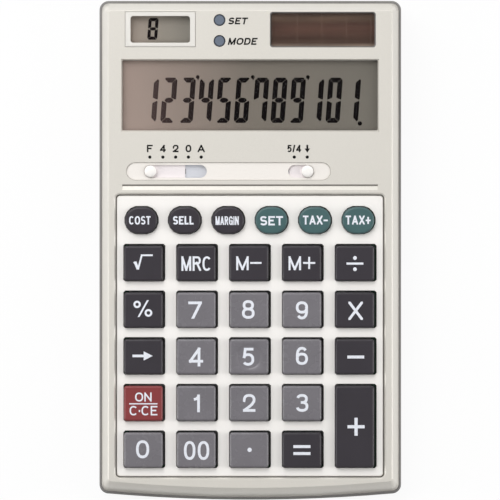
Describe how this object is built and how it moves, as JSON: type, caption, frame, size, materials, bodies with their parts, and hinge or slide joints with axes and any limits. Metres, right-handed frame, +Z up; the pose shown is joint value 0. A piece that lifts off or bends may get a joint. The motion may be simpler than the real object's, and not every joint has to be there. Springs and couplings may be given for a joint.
{
  "type": "desk calculator",
  "caption": "Wedge-shaped desk calculator with a recessed keypad, a large and a small display, a solar cell, slide switches and a sliding battery door.",
  "frame": {"origin": "on the table, under the middle of the calculator's footprint", "axes": "+X to the right, +Y from the front edge towards the displays, +Z up; the face slopes up towards +Y by 3.5 degrees"},
  "size_m": [0.104, 0.1726, 0.0234],
  "materials": {
    "silver_paint": "satin pearl silver over plastic",
    "grey_plastic": "matt moulded",
    "cream_plastic": "satin moulded",
    "white_plastic": "satin moulded",
    "clear_plastic": "clear",
    "lcd_glass": "grey-green liquid crystal cell",
    "solar_glass": "brown amorphous cell",
    "key_charcoal": "satin moulded",
    "key_grey": "satin moulded",
    "key_teal": "satin moulded",
    "key_red": "satin moulded",
    "button_blue": "matt",
    "grey_rubber": "matt",
    "black_rubber": "matt",
    "board_green": "solder mask",
    "black_resin": "gloss resin",
    "frame_plastic": "matt moulded",
    "steel": "plated",
    "lead_wire": "tinned copper"
  },
  "bodies": {
    "case": {"upper_case": "silver_paint", "lower_case": "grey_plastic", "keypad_panel": "cream_plastic", "switch_strip": "cream_plastic", "display_window": "clear_plastic", "clock_bezel": "white_plastic", "clock_window": "clear_plastic", "solar_window": "clear_plastic", "main_lcd": "lcd_glass", "clock_lcd": "lcd_glass", "solar_cell": "solar_glass", "lcd_frame": "frame_plastic", "lcd_connectors": "grey_rubber", "circuit_board": "board_green", "controller_chip": "black_resin", "dome_mat": "grey_rubber", "button_cell": "steel", "battery_contacts": "steel", "rubber_feet": "black_rubber", "case_screws": "steel", "solar_leads": "lead_wire", "battery_leads": "lead_wire"},
    "battery_door": {"battery_door": "grey_plastic"},
    "decimal_switch": {"decimal_slider": "white_plastic", "decimal_wiper": "steel"},
    "rounding_switch": {"rounding_slider": "white_plastic", "rounding_wiper": "steel"},
    "set_button": {"set_button": "button_blue"},
    "mode_button": {"mode_button": "button_blue"},
    "key_cost": {"key_cost": "key_charcoal"},
    "key_sell": {"key_sell": "key_charcoal"},
    "key_margin": {"key_margin": "key_charcoal"},
    "key_set": {"key_set": "key_teal"},
    "key_tax_minus": {"key_tax_minus": "key_teal"},
    "key_tax_plus": {"key_tax_plus": "key_teal"},
    "key_root": {"key_root": "key_charcoal"},
    "key_mrc": {"key_mrc": "key_charcoal"},
    "key_m_minus": {"key_m_minus": "key_charcoal"},
    "key_m_plus": {"key_m_plus": "key_charcoal"},
    "key_divide": {"key_divide": "key_charcoal"},
    "key_percent": {"key_percent": "key_charcoal"},
    "key_7": {"key_7": "key_grey"},
    "key_8": {"key_8": "key_grey"},
    "key_9": {"key_9": "key_grey"},
    "key_multiply": {"key_multiply": "key_charcoal"},
    "key_backspace": {"key_backspace": "key_charcoal"},
    "key_4": {"key_4": "key_grey"},
    "key_5": {"key_5": "key_grey"},
    "key_6": {"key_6": "key_grey"},
    "key_minus": {"key_minus": "key_charcoal"},
    "key_on_clear": {"key_on_clear": "key_red"},
    "key_1": {"key_1": "key_grey"},
    "key_2": {"key_2": "key_grey"},
    "key_3": {"key_3": "key_grey"},
    "key_plus": {"key_plus": "key_charcoal"},
    "key_0": {"key_0": "key_grey"},
    "key_00": {"key_00": "key_grey"},
    "key_point": {"key_point": "key_grey"},
    "key_equals": {"key_equals": "key_charcoal"}
  },
  "joints": [
    {"name": "battery_door_slide", "type": "slide", "parent": "case", "child": "battery_door", "axis": [0, 1, 0], "range_m": [0, 0.024]},
    {"name": "decimal_switch_slide", "type": "slide", "parent": "case", "child": "decimal_switch", "axis": [1, 0, 0], "range_m": [0, 0.0172]},
    {"name": "rounding_switch_slide", "type": "slide", "parent": "case", "child": "rounding_switch", "axis": [1, 0, 0], "range_m": [-0.0044, 0]},
    {"name": "set_button_press", "type": "slide", "parent": "case", "child": "set_button", "axis": [0, -0.061, 0.9981], "range_m": [-0.0006, 0], "stiffness_N_per_m": 250, "springref_m": 0.0006},
    {"name": "mode_button_press", "type": "slide", "parent": "case", "child": "mode_button", "axis": [0, -0.061, 0.9981], "range_m": [-0.0006, 0], "stiffness_N_per_m": 250, "springref_m": 0.0006},
    {"name": "key_cost_press", "type": "slide", "parent": "case", "child": "key_cost", "axis": [0, -0.061, 0.9981], "range_m": [-0.0015, 0], "stiffness_N_per_m": 200, "springref_m": 0.0015, "deforming": ["dome_mat"]},
    {"name": "key_sell_press", "type": "slide", "parent": "case", "child": "key_sell", "axis": [0, -0.061, 0.9981], "range_m": [-0.0015, 0], "stiffness_N_per_m": 200, "springref_m": 0.0015, "deforming": ["dome_mat"]},
    {"name": "key_margin_press", "type": "slide", "parent": "case", "child": "key_margin", "axis": [0, -0.061, 0.9981], "range_m": [-0.0015, 0], "stiffness_N_per_m": 200, "springref_m": 0.0015, "deforming": ["dome_mat"]},
    {"name": "key_set_press", "type": "slide", "parent": "case", "child": "key_set", "axis": [0, -0.061, 0.9981], "range_m": [-0.0015, 0], "stiffness_N_per_m": 200, "springref_m": 0.0015, "deforming": ["dome_mat"]},
    {"name": "key_tax_minus_press", "type": "slide", "parent": "case", "child": "key_tax_minus", "axis": [0, -0.061, 0.9981], "range_m": [-0.0015, 0], "stiffness_N_per_m": 200, "springref_m": 0.0015, "deforming": ["dome_mat"]},
    {"name": "key_tax_plus_press", "type": "slide", "parent": "case", "child": "key_tax_plus", "axis": [0, -0.061, 0.9981], "range_m": [-0.0015, 0], "stiffness_N_per_m": 200, "springref_m": 0.0015, "deforming": ["dome_mat"]},
    {"name": "key_root_press", "type": "slide", "parent": "case", "child": "key_root", "axis": [0, -0.061, 0.9981], "range_m": [-0.0015, 0], "stiffness_N_per_m": 200, "springref_m": 0.0015, "deforming": ["dome_mat"]},
    {"name": "key_mrc_press", "type": "slide", "parent": "case", "child": "key_mrc", "axis": [0, -0.061, 0.9981], "range_m": [-0.0015, 0], "stiffness_N_per_m": 200, "springref_m": 0.0015, "deforming": ["dome_mat"]},
    {"name": "key_m_minus_press", "type": "slide", "parent": "case", "child": "key_m_minus", "axis": [0, -0.061, 0.9981], "range_m": [-0.0015, 0], "stiffness_N_per_m": 200, "springref_m": 0.0015, "deforming": ["dome_mat"]},
    {"name": "key_m_plus_press", "type": "slide", "parent": "case", "child": "key_m_plus", "axis": [0, -0.061, 0.9981], "range_m": [-0.0015, 0], "stiffness_N_per_m": 200, "springref_m": 0.0015, "deforming": ["dome_mat"]},
    {"name": "key_divide_press", "type": "slide", "parent": "case", "child": "key_divide", "axis": [0, -0.061, 0.9981], "range_m": [-0.0015, 0], "stiffness_N_per_m": 200, "springref_m": 0.0015, "deforming": ["dome_mat"]},
    {"name": "key_percent_press", "type": "slide", "parent": "case", "child": "key_percent", "axis": [0, -0.061, 0.9981], "range_m": [-0.0015, 0], "stiffness_N_per_m": 200, "springref_m": 0.0015, "deforming": ["dome_mat"]},
    {"name": "key_7_press", "type": "slide", "parent": "case", "child": "key_7", "axis": [0, -0.061, 0.9981], "range_m": [-0.0015, 0], "stiffness_N_per_m": 200, "springref_m": 0.0015, "deforming": ["dome_mat"]},
    {"name": "key_8_press", "type": "slide", "parent": "case", "child": "key_8", "axis": [0, -0.061, 0.9981], "range_m": [-0.0015, 0], "stiffness_N_per_m": 200, "springref_m": 0.0015, "deforming": ["dome_mat"]},
    {"name": "key_9_press", "type": "slide", "parent": "case", "child": "key_9", "axis": [0, -0.061, 0.9981], "range_m": [-0.0015, 0], "stiffness_N_per_m": 200, "springref_m": 0.0015, "deforming": ["dome_mat"]},
    {"name": "key_multiply_press", "type": "slide", "parent": "case", "child": "key_multiply", "axis": [0, -0.061, 0.9981], "range_m": [-0.0015, 0], "stiffness_N_per_m": 200, "springref_m": 0.0015, "deforming": ["dome_mat"]},
    {"name": "key_backspace_press", "type": "slide", "parent": "case", "child": "key_backspace", "axis": [0, -0.061, 0.9981], "range_m": [-0.0015, 0], "stiffness_N_per_m": 200, "springref_m": 0.0015, "deforming": ["dome_mat"]},
    {"name": "key_4_press", "type": "slide", "parent": "case", "child": "key_4", "axis": [0, -0.061, 0.9981], "range_m": [-0.0015, 0], "stiffness_N_per_m": 200, "springref_m": 0.0015, "deforming": ["dome_mat"]},
    {"name": "key_5_press", "type": "slide", "parent": "case", "child": "key_5", "axis": [0, -0.061, 0.9981], "range_m": [-0.0015, 0], "stiffness_N_per_m": 200, "springref_m": 0.0015, "deforming": ["dome_mat"]},
    {"name": "key_6_press", "type": "slide", "parent": "case", "child": "key_6", "axis": [0, -0.061, 0.9981], "range_m": [-0.0015, 0], "stiffness_N_per_m": 200, "springref_m": 0.0015, "deforming": ["dome_mat"]},
    {"name": "key_minus_press", "type": "slide", "parent": "case", "child": "key_minus", "axis": [0, -0.061, 0.9981], "range_m": [-0.0015, 0], "stiffness_N_per_m": 200, "springref_m": 0.0015, "deforming": ["dome_mat"]},
    {"name": "key_on_clear_press", "type": "slide", "parent": "case", "child": "key_on_clear", "axis": [0, -0.061, 0.9981], "range_m": [-0.0015, 0], "stiffness_N_per_m": 200, "springref_m": 0.0015, "deforming": ["dome_mat"]},
    {"name": "key_1_press", "type": "slide", "parent": "case", "child": "key_1", "axis": [0, -0.061, 0.9981], "range_m": [-0.0015, 0], "stiffness_N_per_m": 200, "springref_m": 0.0015, "deforming": ["dome_mat"]},
    {"name": "key_2_press", "type": "slide", "parent": "case", "child": "key_2", "axis": [0, -0.061, 0.9981], "range_m": [-0.0015, 0], "stiffness_N_per_m": 200, "springref_m": 0.0015, "deforming": ["dome_mat"]},
    {"name": "key_3_press", "type": "slide", "parent": "case", "child": "key_3", "axis": [0, -0.061, 0.9981], "range_m": [-0.0015, 0], "stiffness_N_per_m": 200, "springref_m": 0.0015, "deforming": ["dome_mat"]},
    {"name": "key_plus_press", "type": "slide", "parent": "case", "child": "key_plus", "axis": [0, -0.061, 0.9981], "range_m": [-0.0015, 0], "stiffness_N_per_m": 200, "springref_m": 0.0015, "deforming": ["dome_mat"]},
    {"name": "key_0_press", "type": "slide", "parent": "case", "child": "key_0", "axis": [0, -0.061, 0.9981], "range_m": [-0.0015, 0], "stiffness_N_per_m": 200, "springref_m": 0.0015, "deforming": ["dome_mat"]},
    {"name": "key_00_press", "type": "slide", "parent": "case", "child": "key_00", "axis": [0, -0.061, 0.9981], "range_m": [-0.0015, 0], "stiffness_N_per_m": 200, "springref_m": 0.0015, "deforming": ["dome_mat"]},
    {"name": "key_point_press", "type": "slide", "parent": "case", "child": "key_point", "axis": [0, -0.061, 0.9981], "range_m": [-0.0015, 0], "stiffness_N_per_m": 200, "springref_m": 0.0015, "deforming": ["dome_mat"]},
    {"name": "key_equals_press", "type": "slide", "parent": "case", "child": "key_equals", "axis": [0, -0.061, 0.9981], "range_m": [-0.0015, 0], "stiffness_N_per_m": 200, "springref_m": 0.0015, "deforming": ["dome_mat"]}
  ]
}
